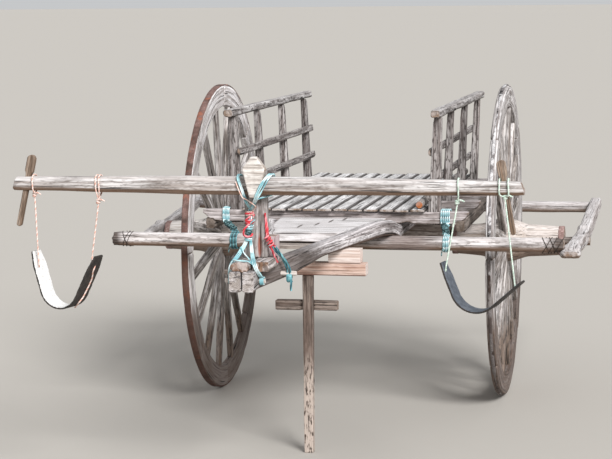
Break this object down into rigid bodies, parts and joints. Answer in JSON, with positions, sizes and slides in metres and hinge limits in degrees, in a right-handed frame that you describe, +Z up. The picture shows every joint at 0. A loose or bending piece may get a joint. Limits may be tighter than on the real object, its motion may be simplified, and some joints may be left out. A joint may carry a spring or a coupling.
{
  "type": "bullock cart",
  "caption": "Two-wheeled wooden bullock cart with spoked wheels, slatted bed, side panels, tongue and yoke, parked on a timber prop.",
  "frame": {"origin": "on the ground, under the middle of the cart's outline", "axes": "+Z up, +Y to the rear, -Y to the yoke, +X to the right in the picture"},
  "size_m": [2.156, 3.3396, 1.4498],
  "materials": {
    "old_timber": "weathered, grey, cracked",
    "rusty_iron": "rusty, worn",
    "strap_rubber": "dull, scuffed",
    "cord_fibre": "twisted cord",
    "rope_fibre": "twisted rope"
  },
  "bodies": {
    "cart": {"axle": "old_timber", "shaft_left": "old_timber", "shaft_right": "old_timber", "front_bar": "old_timber", "rear_bar": "old_timber", "outrigger_left": "old_timber", "outrigger_right": "old_timber", "bearer_1": "old_timber", "bearer_2": "old_timber", "bearer_3": "old_timber", "bearer_4": "old_timber", "sill_left": "old_timber", "sill_right": "old_timber", "floor_slats": "old_timber", "floor_pole": "old_timber", "panel_posts_left": "old_timber", "panel_posts_right": "old_timber", "panel_rails_left": "old_timber", "panel_rails_right": "old_timber", "panel_cap_left": "old_timber", "panel_cap_right": "old_timber", "tongue_board_1": "old_timber", "tongue_board_2": "old_timber", "tongue_battens_1": "old_timber", "tongue_battens_2": "old_timber", "tongue_pegs": "old_timber", "tongue_cap": "old_timber", "yoke_post": "old_timber", "post_chock": "old_timber", "yoke": "old_timber", "yoke_pin_left": "old_timber", "yoke_pin_right": "old_timber", "neck_strap_left": "strap_rubber", "neck_strap_right": "strap_rubber", "neck_cords_left": "cord_fibre", "neck_cords_right": "cord_fibre", "lashing_left": "rope_fibre", "lashing_right": "rope_fibre", "yoke_lashing": "rope_fibre", "prop_post": "old_timber", "prop_beam": "old_timber", "prop_block": "old_timber", "prop_board": "old_timber"},
    "wheel_left": {"nave_left": "old_timber", "nave_bands_left": "rusty_iron", "spokes_left": "old_timber", "felloes_left": "old_timber", "tyre_left": "rusty_iron"},
    "wheel_right": {"nave_right": "old_timber", "nave_bands_right": "rusty_iron", "spokes_right": "old_timber", "felloes_right": "old_timber", "tyre_right": "rusty_iron"}
  },
  "joints": [
    {"name": "wheel_left_spin", "type": "hinge", "parent": "cart", "child": "wheel_left", "pos_m": [-0.677, 0.6302, 0.725], "axis": [1, 0, 0], "continuous": true},
    {"name": "wheel_right_spin", "type": "hinge", "parent": "cart", "child": "wheel_right", "pos_m": [0.677, 0.6302, 0.725], "axis": [1, 0, 0], "continuous": true}
  ]
}
